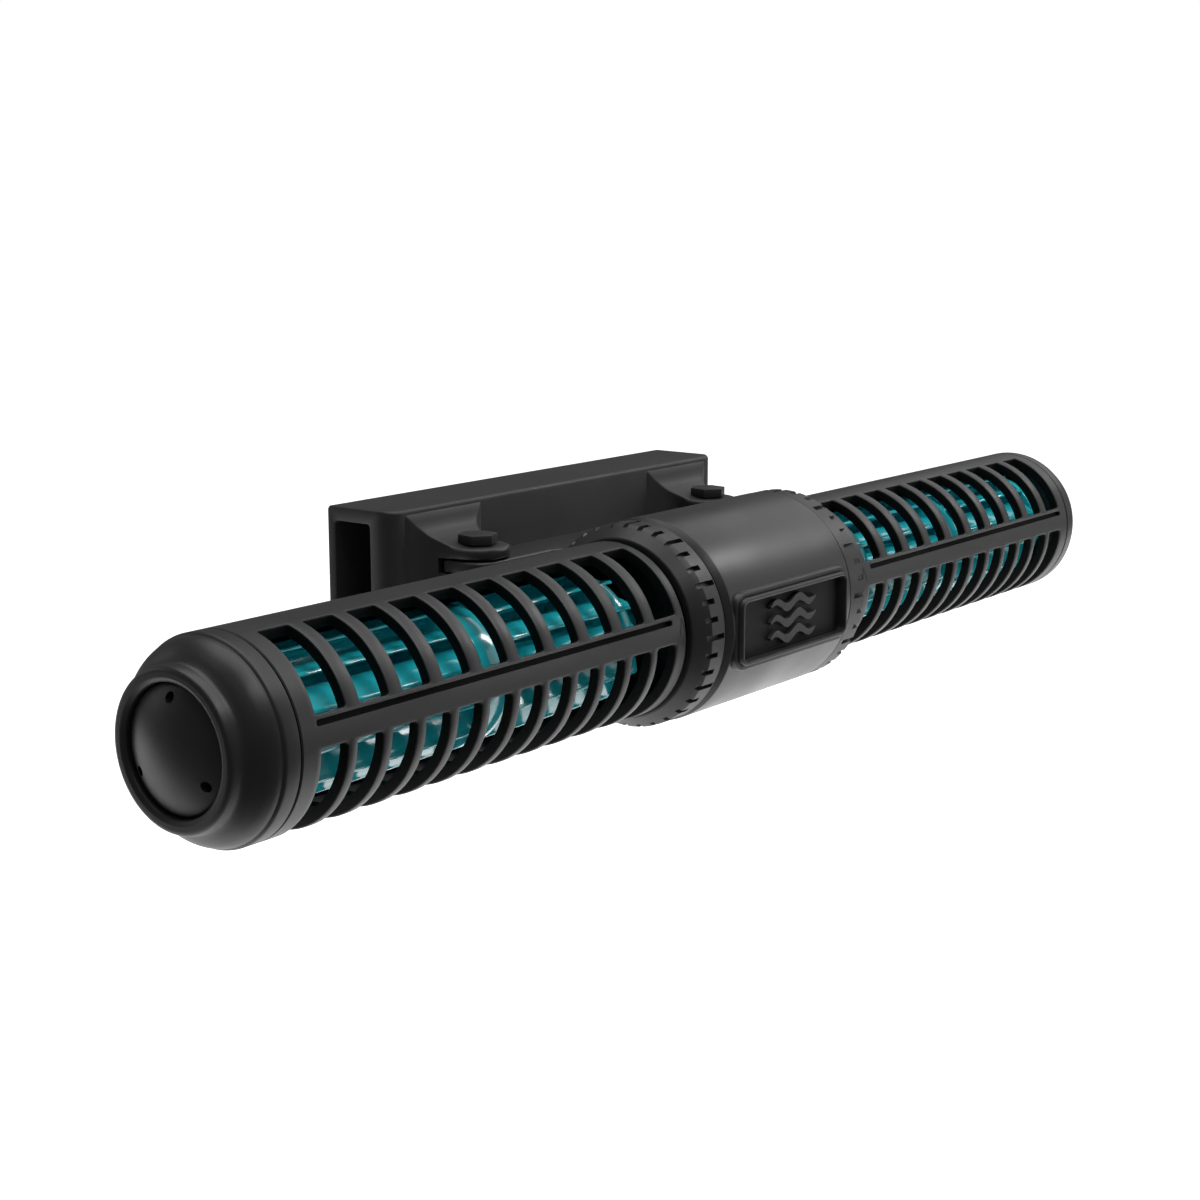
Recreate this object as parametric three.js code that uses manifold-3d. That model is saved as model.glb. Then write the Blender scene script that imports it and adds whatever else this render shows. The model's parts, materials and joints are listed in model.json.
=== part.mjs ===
// Cross-flow wave maker pump: a motor housing with a slotted cage on each side,
// an impeller in each cage, and a bracket that holds the pump to an aquarium wall.
// Millimetres. X runs along the pump, the badge faces -Y, the glass is on the +Y side, Z is up.
// The origin is the middle of the bracket's flat back face.

import * as THREE from 'three';
import { mergeVertices } from 'three/addons/utils/BufferGeometryUtils.js';
import Module from 'manifold-3d';

const wasm = await Module();
wasm.setup();

// ---- Driving dimensions -------------------------------------------------------------------

const GAP = 0.3;                 // clearance between pieces that meet

const CAGE_RADIUS = 21.5;
const CAGE_WALL = 2.6;
const CAGE_INNER_END = 40.85;    // distance from the middle of the pump
const CAGE_OUTER_END = 166.8;
const SPIGOT_RADIUS = 19.5;      // the cage's inner end, which turns in the collar
const SPIGOT_END = 33;
const SEAL_GROOVE = { from: 35.2, to: 36.8, depth: 1.1 };
const UPPER_SLOTS = { count: 10, width: 8.4, pitch: 12.22, from: 43.74, low: 18.2, high: 76.6 };
const LOWER_SLOTS = { count: 12, width: 7.5, pitch: 9.96, from: 44.75, low: -98, high: 0 };

const HOUSING_RADIUS = 25.35;
const HOUSING_BORE = 21;
const HOUSING_HALF = 28;
const HOUSING_CHAMFER = 1.5;      // at the left end only
const COLLAR_RADIUS = 25.05;
const COLLAR_FRONT = 38.9;
const COLLAR_BACK = 28.3;
const COLLAR_BORE = 20.1;
const COLLAR_BAND = { from: 29.6, to: 35.2, neck: 23.7, lip: 22 };
const MARKS = { count: 12, width: 1.2, depth: 1.7, end: 30.5 };

const CAP_FACE = 180.5;
const CAP_RING_BORE = 13.3;
const CAP_FLOOR = 177;
const CAP_DOME = { rise: 3.5, wall: 1.55 };
const CAP_HOLES = { count: 3, circle: 10.6, radius: 1.05 };

const IMPELLER = { radius: 15.7, root: 11.2, from: 50.4, to: 160, blades: 12, thickness: 1.3 };
const BLADE_SWEEP = 24;          // degrees that a blade's tip leans away from its root
const DISCS = { inner: [53, 55.5], middle: [99.5, 106.7], outer: [157, 159.4] };
const HUBS = { inner: [36, 57], outer: [155.5, 161] };
const SHAFT_RADIUS = 2;
const BEARING_RADIUS = 5;

const BADGE = { width: 49.2, height: 16.8, corner: 2.6, front: -26.7, back: -23.4, z: -0.5 };
const BOSS_RIM = 1.2;            // how far the housing's boss stands out round the badge

const BOX = { half: 69.4, front: 45.5, back: 66.6, low: -18.4, high: 27.6 };
const CHANNEL = { front: 52.5, back: 64, low: -14.8, high: 24 };
const MAGNET_HALF = 55;
const BOLT = { x: 50, y: 34.5, shank: 2.4, hole: 2.8, seat: 5.8, flats: 8.7, head: 2.4, nut: 3.5 };
const LUG_RADIUS = 8;
const LUG_THICKNESS = 2.9;
const ARM_ROOT = { half: 14.2, sweep: 43.2, web: 40.2 };
const WING = { low: 12.2, high: 15.3, front: 27, back: 39, half: 58 };

const STATOR = { outer: 20.5, yoke: 17.2, tip: 10.9, poles: 6, poleWidth: 5, half: 12 };
const CAN_RADIUS = 10.2;
const GLAND_TILT = 35;           // degrees below the horizontal, on the glass side

// ---- Materials ----------------------------------------------------------------------------

const finish = (color, roughness, metalness = 0) =>
  new THREE.MeshStandardMaterial({ color, roughness, metalness });

const BLACK_PLASTIC = finish(0x222326, 0.55);
const CAP_PLASTIC = finish(0x1d1e20, 0.6);
const BRACKET_PLASTIC = finish(0x26272a, 0.6);
const TEAL = finish(0x128c98, 0.25);
const RUBBER = finish(0x151515, 0.8);
const STEEL = finish(0xb9bcc0, 0.3, 1);
const LAMINATION = finish(0x3a3b3e, 0.45, 0.6);
const WHITE_PLASTIC = finish(0xe8e6df, 0.35);
const COPPER = finish(0xb4602c, 0.35, 1);
const MAGNET = finish(0x55585c, 0.4, 0.8);

// ---- Geometry helpers ---------------------------------------------------------------------

const rad = THREE.MathUtils.degToRad;
const polar = (radius, angle) => new THREE.Vector2(radius * Math.cos(angle), radius * Math.sin(angle));

// A closed mesh with shared vertices, no flat triangles and its faces pointing out.
function tidy(geometry) {
  const bare = geometry.index ? geometry.toNonIndexed() : geometry.clone();
  bare.deleteAttribute('normal');
  bare.deleteAttribute('uv');
  const merged = mergeVertices(bare, 1e-4);
  const position = merged.attributes.position.array;
  const source = merged.index.array;
  const corners = [];
  let volume = 0;
  for (let i = 0; i < source.length; i += 3) {
    const [a, b, c] = [source[i], source[i + 1], source[i + 2]];
    if (a === b || b === c || c === a) continue;
    corners.push(a, b, c);
    const [p, q, r] = [a, b, c].map((n) => new THREE.Vector3().fromArray(position, 3 * n));
    volume += p.dot(q.cross(r));
  }
  if (volume < 0) {
    for (let i = 0; i < corners.length; i += 3) {
      [corners[i], corners[i + 1]] = [corners[i + 1], corners[i]];
    }
  }
  merged.setIndex(corners);
  return merged;
}

function solid(geometry) {
  const { attributes, index } = tidy(geometry);
  const vertProperties = new Float32Array(attributes.position.array);
  const triVerts = new Uint32Array(index.array);
  return new wasm.Manifold(new wasm.Mesh({ numProp: 3, vertProperties, triVerts }));
}

function surface(manifold) {
  const mesh = manifold.getMesh();
  const geometry = new THREE.BufferGeometry();
  geometry.setAttribute('position', new THREE.BufferAttribute(mesh.vertProperties, 3));
  geometry.setIndex(new THREE.BufferAttribute(mesh.triVerts, 1));
  return geometry;
}

const join = (first, ...others) => surface(others.reduce((sum, g) => sum.add(solid(g)), solid(first)));
const cut = (first, ...others) => surface(others.reduce((sum, g) => sum.subtract(solid(g)), solid(first)));
const overlap = (first, second) => surface(solid(first).intersect(solid(second)));

// The same geometry on the pump's left side, seen in a mirror.
const mirrored = (geometry) => tidy(geometry.clone().scale(-1, 1, 1));

// A solid of revolution about X from [x, radius] points, closed unless it starts on the axis.
function lathe(points, segments) {
  const profile = points.map(([x, radius]) => new THREE.Vector2(radius, x));
  if (profile[0].x > 0) profile.push(profile[0].clone());
  return tidy(new THREE.LatheGeometry(profile, segments).rotateZ(-Math.PI / 2));
}

const rod = (from, to, radius, segments = 16) =>
  lathe([[from, 0], [from, radius], [to, radius], [to, 0]], segments);

const ring = (from, to, inner, outer, segments) =>
  lathe([[from, inner], [to, inner], [to, outer], [from, outer]], segments);

function extrude(shape, depth, curveSegments = 6) {
  const outline = Array.isArray(shape) ? new THREE.Shape(shape) : shape;
  return new THREE.ExtrudeGeometry(outline, { depth, bevelEnabled: false, curveSegments });
}

const axes = (x, y, z) => new THREE.Matrix4().makeBasis(x, y, z);
const [X, Y, Z] = [[1, 0, 0], [0, 1, 0], [0, 0, 1]].map((v) => new THREE.Vector3(...v));

// An outline of (y, z) points carried from one x to another.
const alongX = (shape, from, to) =>
  extrude(shape, to - from).applyMatrix4(axes(Y, Z, X)).translate(from, 0, 0);
// An outline of (x, z) points carried from one y to another.
const alongY = (shape, from, to) =>
  extrude(shape, to - from).applyMatrix4(axes(X, Z, Y.clone().negate())).translate(0, to, 0);
// An outline of (x, y) points carried from one z to another.
const alongZ = (shape, from, to) => extrude(shape, to - from).translate(0, 0, from);

function roundedRect(x0, y0, x1, y1, r) {
  const shape = new THREE.Shape();
  shape.moveTo(x0 + r, y0).lineTo(x1 - r, y0);
  shape.absarc(x1 - r, y0 + r, r, -Math.PI / 2, 0).lineTo(x1, y1 - r);
  shape.absarc(x1 - r, y1 - r, r, 0, Math.PI / 2).lineTo(x0 + r, y1);
  shape.absarc(x0 + r, y1 - r, r, Math.PI / 2, Math.PI).lineTo(x0, y0 + r);
  shape.absarc(x0 + r, y0 + r, r, Math.PI, Math.PI * 1.5);
  return new THREE.Shape(dropRepeats(shape.getPoints(3)));
}

function dropRepeats(points) {
  return points.filter((p, i) => p.distanceTo(points[(i + 1) % points.length]) > 1e-4);
}

const centredRect = (width, height, r, x = 0, y = 0) =>
  roundedRect(x - width / 2, y - height / 2, x + width / 2, y + height / 2, r);

// An upright cylinder, or a hexagon across its corners with six sides.
const post = (radius, low, high, sides = 16) =>
  new THREE.CylinderGeometry(radius, radius, high - low, sides)
    .rotateX(Math.PI / 2).translate(0, 0, (low + high) / 2);

const group = new THREE.Group();
group.position.set(0, -BOX.back, -(BOX.low + BOX.high) / 2);

function add(name, geometry, material, parent = group) {
  const mesh = new THREE.Mesh(geometry, material);
  mesh.name = name;
  parent.add(mesh);
  return mesh;
}

// ---- Cages --------------------------------------------------------------------------------

// A sector of a thick disc; angles are counted in degrees from the front, upwards.
function sector(low, high, inner, outer, from, to) {
  const steps = Math.ceil((high - low) / 40);
  const at = (r, i) => polar(r, Math.PI - rad(low + ((high - low) * i) / steps));
  const out = Array.from({ length: steps + 1 }, (_, i) => at(outer, i));
  const back = Array.from({ length: steps + 1 }, (_, i) => at(inner, steps - i));
  return alongX([...out, ...back], from, to);
}

function slotCutters({ count, width, pitch, from, low, high }) {
  return Array.from({ length: count }, (_, i) => {
    const start = from + i * pitch;
    return sector(low, high, CAGE_RADIUS / 2, CAGE_RADIUS * 1.5, start, start + width);
  });
}

function cage() {
  const bore = CAGE_RADIUS - CAGE_WALL;
  const { from, to, depth } = SEAL_GROOVE;
  const seal = SPIGOT_RADIUS - depth;
  const tube = lathe([
    [SPIGOT_END, 17.2], [38, 17.2], [41.2, bore], [CAGE_OUTER_END, bore],
    [CAGE_OUTER_END, CAGE_RADIUS], [CAGE_INNER_END, CAGE_RADIUS], [CAGE_INNER_END, SPIGOT_RADIUS],
    [to, SPIGOT_RADIUS], [to, seal], [from, seal], [from, SPIGOT_RADIUS],
    [SPIGOT_END, SPIGOT_RADIUS],
  ], 24);
  return cut(tube, ...slotCutters(UPPER_SLOTS), ...slotCutters(LOWER_SLOTS));
}

// ---- End caps -----------------------------------------------------------------------------

const holePins = (from, to, radius) => Array.from({ length: CAP_HOLES.count }, (_, i) => {
  const at = polar(CAP_HOLES.circle, Math.PI / 2 + (i * 2 * Math.PI) / CAP_HOLES.count);
  return rod(from, to, radius, 8).translate(0, at.x, at.y);
});

function endCap() {
  const rim = CAGE_OUTER_END + GAP;
  const body = lathe([
    [173, 0], [173, BEARING_RADIUS + GAP], [166.2, BEARING_RADIUS + GAP], [166.2, 7.5],
    [174.2, 7.5], [174.2, 16.9], [163.4, 16.9], [163.4, 18.6], [rim, 18.6],
    [rim, CAGE_RADIUS], [171.1, CAGE_RADIUS], [171.7, 20.8], [173.8, 20], [176.3, 17.8],
    [177.6, 16.7], [179.6, 16.3], [CAP_FACE, 15], [CAP_FACE, 14.5], [179.2, CAP_RING_BORE],
    [CAP_FLOOR, CAP_RING_BORE], [CAP_FLOOR, 0],
  ], 24);
  return cut(body, ...holePins(170, CAP_FLOOR + 1, CAP_HOLES.radius));
}

function capPlate() {
  const edge = CAP_RING_BORE - GAP;
  const base = CAP_FLOOR + GAP;
  const { rise, wall } = CAP_DOME;
  const sphere = (edge * edge + rise * rise) / (2 * rise);
  const dome = Array.from({ length: 5 }, (_, i) => {
    const r = edge * (1 - i / 4);
    return [base + wall + rise - sphere + Math.sqrt(sphere * sphere - r * r), r];
  });
  return cut(lathe([[base, 0], [base, edge], ...dome], 24), ...holePins(170, 185, CAP_HOLES.radius));
}

const capScrew = () => lathe([[172.2, 0], [172.8, 0.5], [174, 0.7], [178.6, 0.7], [178.6, 0]], 8);

// ---- Impellers ----------------------------------------------------------------------------

// Two rows of blades, the second turned by half a pitch, on three discs and two hubs.
function impeller() {
  const { radius, root, from, to, blades, thickness } = IMPELLER;
  const station = (t, side) => {
    const half = (thickness * (1 - 0.35 * t)) / 2;
    const r = root + (radius - root) * t;
    return polar(r, rad(BLADE_SWEEP) * t + (side * half) / r);
  };
  const outline = [station(0, -1), station(1, -1), station(1, 1), station(0, 1)];
  const pitch = (2 * Math.PI) / blades;
  const row = (start, end, turn) => Array.from({ length: blades }, (_, i) =>
    alongX(outline, start, end).rotateX(turn + i * pitch));
  const bore = SHAFT_RADIUS + GAP;
  const { inner, middle, outer } = DISCS;
  const centre = (middle[0] + middle[1]) / 2;
  return join(
    ring(...outer, bore, radius - 0.4, blades * 2),
    ring(...middle, bore, radius, blades * 2),
    ring(...inner, bore, radius - 0.4, blades * 2),
    ring(...HUBS.outer, bore, BEARING_RADIUS, blades),
    ring(...HUBS.inner, bore, BEARING_RADIUS, blades),
    ...row(from, centre - 1, 0),
    ...row(centre + 1, to, pitch / 2),
  );
}

// ---- Index collars ------------------------------------------------------------------------

// A groove parts the left collar from the housing; the right collar lies flush against it.
function indexCollar(side) {
  const { from, to, neck, lip } = COLLAR_BAND;
  const rear = side === 'right' ? [[COLLAR_BACK, COLLAR_RADIUS]] : [
    [from, COLLAR_RADIUS], [from, neck - 0.8], [from - 0.4, neck - 0.8], [COLLAR_BACK, neck]];
  const cup = lathe([
    [COLLAR_BACK, BEARING_RADIUS + GAP], [31, BEARING_RADIUS + GAP], [31, COLLAR_BORE],
    [COLLAR_FRONT, COLLAR_BORE], [COLLAR_FRONT, lip], [to, COLLAR_RADIUS], ...rear,
  ], 36);
  const { count, width, depth, end } = MARKS;
  const marks = Array.from({ length: count }, (_, i) =>
    new THREE.BoxGeometry(40 - end, width, 4)
      .translate((40 + end) / 2, 0, COLLAR_RADIUS - depth + 2)
      .rotateX((i * 2 * Math.PI) / count));
  return cut(cup, ...marks);
}

// ---- Motor housing and what is in it -------------------------------------------------------

function wingOutline() {
  const { front, back, half } = WING;
  const neck = HOUSING_HALF - 0.5;
  const r = (back - front) / 2;
  const shape = new THREE.Shape();
  shape.moveTo(-neck, 18).lineTo(neck, 18).lineTo(neck, front - 3);
  shape.quadraticCurveTo(neck, front, neck + 3, front).lineTo(half - r, front);
  shape.absarc(half - r, front + r, r, -Math.PI / 2, Math.PI / 2).lineTo(r - half, back);
  shape.absarc(r - half, front + r, r, Math.PI / 2, Math.PI * 1.5).lineTo(-neck - 3, front);
  shape.quadraticCurveTo(-neck, front, -neck, front - 3);
  return new THREE.Shape(dropRepeats(shape.getPoints(4)));
}

const boltPosts = (radius, low, high) =>
  [-1, 1].map((side) => post(radius, low, high, 12).translate(side * BOLT.x, BOLT.y, 0));

function glandAxis(geometry) {
  return geometry.rotateZ(Math.PI / 2).rotateX(rad(-GLAND_TILT));
}

function motorHousing() {
  const chamfer = HOUSING_CHAMFER;
  const side = HOUSING_RADIUS - chamfer;
  const tube = lathe([
    [-HOUSING_HALF, HOUSING_BORE], [HOUSING_HALF, HOUSING_BORE], [HOUSING_HALF, HOUSING_RADIUS],
    [chamfer - HOUSING_HALF, HOUSING_RADIUS], [-HOUSING_HALF, side],
  ], 40);
  const { width, height, corner, back, front, z } = BADGE;
  const rim = 2 * BOSS_RIM;
  const boss = alongY(centredRect(width + rim, height + rim, corner + BOSS_RIM, 0, z),
    front + BOSS_RIM, -22.4);
  const web = alongX([[18.5, 12.5], [37, 12.5], [24.8, 2], [22.5, 2]].map((p) =>
    new THREE.Vector2(...p)), 4 - HOUSING_HALF, HOUSING_HALF - 4);
  const body = join(tube, boss, alongZ(wingOutline(), WING.low, WING.high), web);
  const pocket = alongY(centredRect(width + 2 * GAP, height + 2 * GAP, corner + GAP, 0, z),
    -30, back + GAP);
  const cableHole = glandAxis(rod(15, 40, 4.3));
  return cut(body, pocket, cableHole, ...boltPosts(BOLT.hole, 0, 30));
}

function badgeBezel() {
  const { width, height, corner, front, back, z } = BADGE;
  const block = alongY(centredRect(width, height, corner, 0, z), front, back);
  const recess = alongY(centredRect(width - 2, height - 2, corner - 1, 0, z), front - 1, -24.1);
  return cut(block, recess);
}

// A plain panel with three raised waves.
function badgeEmblem() {
  const { width, height, corner, z } = BADGE;
  const panel = alongY(centredRect(width - 2.8, height - 2.8, corner - 1.4, 0, z), -24.7, -24.4);
  const waves = [-1, 0, 1].map((row) => {
    const line = (offset) => Array.from({ length: 9 }, (_, i) => {
      const x = -10 + 2.5 * i;
      return new THREE.Vector2(x, z + 4 * row + Math.sin((x * Math.PI) / 5) + offset);
    });
    return alongY([...line(-0.8), ...line(0.8).reverse()], -25.6, -24.6);
  });
  return join(panel, ...waves);
}

function statorCore() {
  const { outer, yoke, tip, poles, poleWidth, half } = STATOR;
  const shape = new THREE.Shape(Array.from({ length: 36 }, (_, i) => polar(outer, rad(i * 10))));
  const hole = Array.from({ length: poles }, (_, k) => {
    const at = (2 * Math.PI * k) / poles;
    const atTip = Math.asin(poleWidth / 2 / tip);
    const atYoke = Math.asin(poleWidth / 2 / yoke);
    const next = (2 * Math.PI) / poles;
    const arc = [0, 1 / 3, 2 / 3, 1].map((t) => polar(yoke, at + atYoke + t * (next - 2 * atYoke)));
    return [polar(tip, at - atTip), polar(tip, at + atTip), ...arc];
  });
  shape.holes.push(new THREE.Path(hole.flat()));
  return alongX(shape, -half, half);
}

// One winding round the pole that points along +Y.
function statorCoil() {
  const inner = STATOR.poleWidth / 2 + GAP;
  const wind = 2.2;
  const long = STATOR.half + GAP;
  const rectangle = (x, z) => [[-x, -z], [x, -z], [x, z], [-x, z]].map((p) => new THREE.Vector2(...p));
  const shape = new THREE.Shape(rectangle(long + wind, inner + wind));
  shape.holes.push(new THREE.Path(rectangle(long, inner)));
  return alongY(shape, STATOR.tip + 0.9, STATOR.yoke - 1.6);
}

function cableGland() {
  const face = HOUSING_RADIUS + 0.25;
  return glandAxis(lathe([
    [22, 0], [22, 4], [face, 4], [face, 6.2], [face + 1.6, 6.2], [face + 2.2, 4.6],
    [34, 3.6], [34, 1.9], [24, 1.9], [24, 0],
  ], 16));
}

// ---- Bracket ------------------------------------------------------------------------------

// A gusset arm: it sweeps from the box's front wall out to a round lug over the bolt.
function arm(lugLow, lugHigh, rootLow, rootHigh, sweepUp) {
  const tip = BOLT.y - LUG_RADIUS;
  const side = new THREE.Shape();
  const [flat, swept, root] = sweepUp ? [lugLow, lugHigh, rootHigh] : [lugHigh, lugLow, rootLow];
  side.moveTo(BOX.front + 3, flat).lineTo(tip, flat).lineTo(tip, swept).lineTo(33.5, swept);
  side.quadraticCurveTo(ARM_ROOT.sweep, swept, BOX.front, root);
  side.lineTo(BOX.front + 3, root);
  const plan = new THREE.Shape();
  const { half, sweep } = ARM_ROOT;
  plan.moveTo(-half, BOX.front + 3).lineTo(-half, BOX.front);
  plan.quadraticCurveTo(-LUG_RADIUS, sweep, -LUG_RADIUS, BOLT.y);
  plan.absarc(0, BOLT.y, LUG_RADIUS, Math.PI, 2 * Math.PI);
  plan.quadraticCurveTo(LUG_RADIUS, sweep, half, BOX.front).lineTo(half, BOX.front + 3);
  const outline = new THREE.Shape(dropRepeats(plan.getPoints(5)));
  return overlap(alongX(new THREE.Shape(dropRepeats(side.getPoints(5))), -20, 20),
    alongZ(outline, -20, 40));
}

function mountBracket() {
  const { half, front, back, low, high } = BOX;
  const box = overlap(alongX(roundedRect(front, low, back, high, 1.2), -half, half),
    alongZ(roundedRect(-half, front, half, back, 4), low - 1, high + 1));
  const upperLow = WING.high + GAP;
  const lowerHigh = WING.low - GAP;
  const arms = [-1, 1].flatMap((sign) => [
    arm(upperLow, upperLow + LUG_THICKNESS, 0, high - 1.3, true),
    arm(lowerHigh - LUG_THICKNESS, lowerHigh, 1.2, 0, false),
    alongX(roundedRect(ARM_ROOT.web, lowerHigh - 1, front + 1, upperLow + 1, 0.8),
      -LUG_RADIUS, LUG_RADIUS),
  ].map((g) => g.translate(sign * BOLT.x, 0, 0)));
  const { front: near, back: far, low: floor, high: roof } = CHANNEL;
  const channel = alongX(roundedRect(near, floor, far, roof, 0.8), -half - 5, half + 5);
  const spotFaces = [
    ...boltPosts(BOLT.seat, upperLow + LUG_THICKNESS, high),
    ...boltPosts(BOLT.seat, low, lowerHigh - LUG_THICKNESS),
  ];
  return cut(join(box, ...arms), channel, ...boltPosts(BOLT.hole, 0, 40), ...spotFaces);
}

function magnetBlock() {
  const { front, back, low, high } = CHANNEL;
  return alongX(roundedRect(front + GAP, low + GAP, back - GAP, high - GAP, 0.8),
    -MAGNET_HALF, MAGNET_HALF);
}

const cornerRadius = BOLT.flats / Math.sqrt(3);
const lugTop = WING.high + GAP + LUG_THICKNESS;
const lugBottom = WING.low - GAP - LUG_THICKNESS;

const hexBolt = () => join(
  post(cornerRadius, lugTop + GAP, lugTop + GAP + BOLT.head, 6),
  post(BOLT.shank, lugBottom - BOLT.nut - 1.5, lugTop + GAP + 0.1, 14),
);

const hexNut = () => cut(
  post(cornerRadius, lugBottom - GAP - BOLT.nut, lugBottom - GAP, 6),
  post(BOLT.shank + GAP, 0, 20, 14),
);

// ---- Assembly -----------------------------------------------------------------------------

add('motor_housing', motorHousing(), BLACK_PLASTIC);
add('badge_bezel', badgeBezel(), BLACK_PLASTIC);
add('badge_emblem', badgeEmblem(), BLACK_PLASTIC);
add('mount_bracket', mountBracket(), BRACKET_PLASTIC);
add('magnet_block', magnetBlock(), MAGNET);
add('cable_gland', cableGland(), RUBBER);
add('stator_core', statorCore(), LAMINATION);
add('motor_can', ring(-24, 24, CAN_RADIUS - 1, CAN_RADIUS, 20), BLACK_PLASTIC);
for (let i = 0; i < STATOR.poles; i += 1) {
  const coil = add(`stator_coil_${i + 1}`, statorCoil(), COPPER);
  coil.rotation.x = (2 * Math.PI * i) / STATOR.poles;
}

add('drive_shaft', rod(-57, 57, SHAFT_RADIUS), STEEL);
add('magnet_rotor', ring(-18, 18, SHAFT_RADIUS + GAP, 8.6, 20), MAGNET);

// What is the same on both sides is made for the right side, and mirrored for the left.
for (const [side, hand] of [['left', mirrored], ['right', tidy]]) {
  const shaftBore = SHAFT_RADIUS + GAP;
  const pieces = [
    ['index_collar', indexCollar(side), BLACK_PLASTIC],
    ['bulkhead', ring(24.3, 27.9, BEARING_RADIUS + GAP, 20.7, 24), BLACK_PLASTIC],
    ['inner_bearing', ring(24.6, 33.5, shaftBore, BEARING_RADIUS, 16), WHITE_PLASTIC],
    ['thrust_washer', ring(34, 35.4, shaftBore, 4.6, 12), RUBBER],
    ['cage', cage(), BLACK_PLASTIC],
    ['cage_seal', ring(35.5, 36.5, SPIGOT_RADIUS - 0.8, COLLAR_BORE - GAP, 24), RUBBER],
    ['end_cap', endCap(), CAP_PLASTIC],
    ['cap_plate', capPlate(), CAP_PLASTIC],
    ['end_bearing', ring(166.5, 172.7, shaftBore, BEARING_RADIUS, 16), WHITE_PLASTIC],
    ['stub_axle', rod(155, 172.4, SHAFT_RADIUS), STEEL],
    ['impeller', impeller(), TEAL],
  ];
  for (const [name, geometry, material] of pieces) add(`${side}_${name}`, hand(geometry), material);

  const sign = side === 'left' ? -1 : 1;
  for (let i = 0; i < CAP_HOLES.count; i += 1) {
    const at = polar(CAP_HOLES.circle, Math.PI / 2 + (i * 2 * Math.PI) / CAP_HOLES.count);
    const screw = add(`${side}_cap_screw_${i + 1}`, hand(capScrew()), STEEL);
    screw.position.set(0, at.x, at.y);
  }
  for (const [name, geometry] of [['bolt', hexBolt()], ['nut', hexNut()]]) {
    add(`${side}_${name}`, geometry, BRACKET_PLASTIC).position.set(sign * BOLT.x, BOLT.y, 0);
  }
}

export default group;
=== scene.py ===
"""Looks for the wave maker pump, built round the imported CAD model.

Shapes are written in millimetres about the pump's axis: x runs along the pump, the badge faces -y,
z is up. piece() turns them into metres in the row frame.
"""

import json
import math

import bmesh
import bpy
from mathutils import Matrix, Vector

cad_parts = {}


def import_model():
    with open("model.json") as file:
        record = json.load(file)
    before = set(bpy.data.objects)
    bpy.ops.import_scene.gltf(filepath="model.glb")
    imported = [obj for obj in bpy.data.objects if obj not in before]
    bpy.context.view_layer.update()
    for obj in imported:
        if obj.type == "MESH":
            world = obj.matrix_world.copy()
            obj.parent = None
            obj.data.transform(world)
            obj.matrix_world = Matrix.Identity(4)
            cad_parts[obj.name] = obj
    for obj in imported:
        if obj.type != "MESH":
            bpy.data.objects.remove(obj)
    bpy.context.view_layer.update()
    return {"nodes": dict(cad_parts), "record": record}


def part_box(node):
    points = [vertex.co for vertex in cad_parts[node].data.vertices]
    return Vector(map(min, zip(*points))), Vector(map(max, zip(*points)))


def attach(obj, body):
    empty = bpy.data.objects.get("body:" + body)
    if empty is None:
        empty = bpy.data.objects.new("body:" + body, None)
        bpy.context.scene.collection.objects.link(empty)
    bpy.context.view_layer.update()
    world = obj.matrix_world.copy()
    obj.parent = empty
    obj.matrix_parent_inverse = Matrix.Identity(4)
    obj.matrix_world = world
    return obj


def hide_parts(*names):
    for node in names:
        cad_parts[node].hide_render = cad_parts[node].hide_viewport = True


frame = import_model()

MM = 0.001
cage_low, cage_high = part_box("right_cage")
AXIS = Vector((0, (cage_low.y + cage_high.y) / 2, (cage_low.z + cage_high.z) / 2))
NODES = frame["nodes"]


# ---- Materials ----------------------------------------------------------------------------

def new_material(name):
    """A material with its shader, and coordinates that stay with the object."""
    mat = bpy.data.materials.new(name)
    mat.use_nodes = True
    nodes, links = mat.node_tree.nodes, mat.node_tree.links
    shader = nodes["Principled BSDF"]
    coord = nodes.new("ShaderNodeTexCoord")
    return mat, nodes, links, shader, coord


def noise(nodes, links, coord, scale, detail=3.0, stretch=(1, 1, 1)):
    mapping = nodes.new("ShaderNodeMapping")
    mapping.inputs["Scale"].default_value = stretch
    links.new(coord.outputs["Object"], mapping.inputs["Vector"])
    tex = nodes.new("ShaderNodeTexNoise")
    tex.inputs["Scale"].default_value = scale
    tex.inputs["Detail"].default_value = detail
    links.new(mapping.outputs["Vector"], tex.inputs["Vector"])
    return tex


def spread(nodes, links, source, low, high):
    """The noise's middle range stretched to low..high."""
    node = nodes.new("ShaderNodeMapRange")
    node.inputs["From Min"].default_value = 0.35
    node.inputs["From Max"].default_value = 0.65
    node.inputs["To Min"].default_value = low
    node.inputs["To Max"].default_value = high
    links.new(source, node.inputs["Value"])
    return node.outputs["Result"]


def tint(nodes, links, factor, dark, light):
    """A colour between dark and light."""
    mix = nodes.new("ShaderNodeMix")
    mix.data_type = "RGBA"
    mix.inputs[6].default_value = (*dark, 1)
    mix.inputs[7].default_value = (*light, 1)
    links.new(factor, mix.inputs[0])
    return mix.outputs[2]


def add_bump(nodes, links, shader, height, strength, distance):
    bump = nodes.new("ShaderNodeBump")
    bump.inputs["Strength"].default_value = strength
    bump.inputs["Distance"].default_value = distance
    links.new(height, bump.inputs["Height"])
    links.new(bump.outputs["Normal"], shader.inputs["Normal"])


def scaled(colour, k):
    return tuple(c * k for c in colour)


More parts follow.
